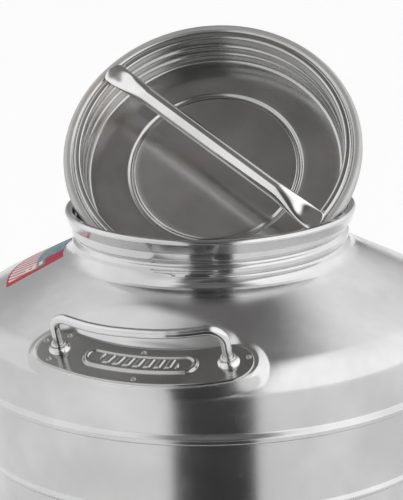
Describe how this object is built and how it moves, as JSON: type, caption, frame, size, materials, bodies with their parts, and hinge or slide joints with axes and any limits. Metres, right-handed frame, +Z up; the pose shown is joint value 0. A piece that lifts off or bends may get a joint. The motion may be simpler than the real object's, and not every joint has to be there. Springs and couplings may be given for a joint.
{
  "type": "milk can",
  "caption": "Stainless steel milk can with two rod handles on the shoulder and a screw lid with a tube grip, leaning in the open mouth",
  "frame": {"origin": "centre of the base, on the floor", "axes": "+Z up along the can, -Y towards the front handle, +X to the right seen from the front"},
  "size_m": [0.3604, 0.3604, 0.5945],
  "materials": {
    "satin_steel": "satin drawn stainless sheet",
    "lid_steel": "satin pressed stainless sheet",
    "plate_steel": "bright stamped stainless plate",
    "rod_steel": "drawn stainless rod",
    "weld_steel": "ground weld",
    "label_film": "printed glossy film",
    "seal_rubber": "dark food-grade rubber"
  },
  "bodies": {
    "can": {"shoulder_shell": "satin_steel", "barrel_shell": "satin_steel", "barrel_seam_weld": "weld_steel", "bottom_pan": "satin_steel", "base_hoop": "satin_steel", "shoulder_seam_weld": "weld_steel", "bottom_seam_weld": "weld_steel", "base_hoop_weld": "weld_steel", "shoulder_label": "label_film", "front_handle_plate": "plate_steel", "front_handle_grip": "rod_steel", "front_handle_collars": "rod_steel", "front_spot_welds": "weld_steel", "back_handle_plate": "plate_steel", "back_handle_grip": "rod_steel", "back_handle_collars": "rod_steel", "back_spot_welds": "weld_steel"},
    "lid": {"lid_pan": "lid_steel", "lid_bar": "lid_steel", "lid_bar_welds": "weld_steel", "lid_gasket": "seal_rubber"}
  },
  "joints": [
    {"name": "lid_lift", "type": "slide", "parent": "can", "child": "lid", "axis": [0, 0, 1], "range_m": [0, 0.15]}
  ]
}
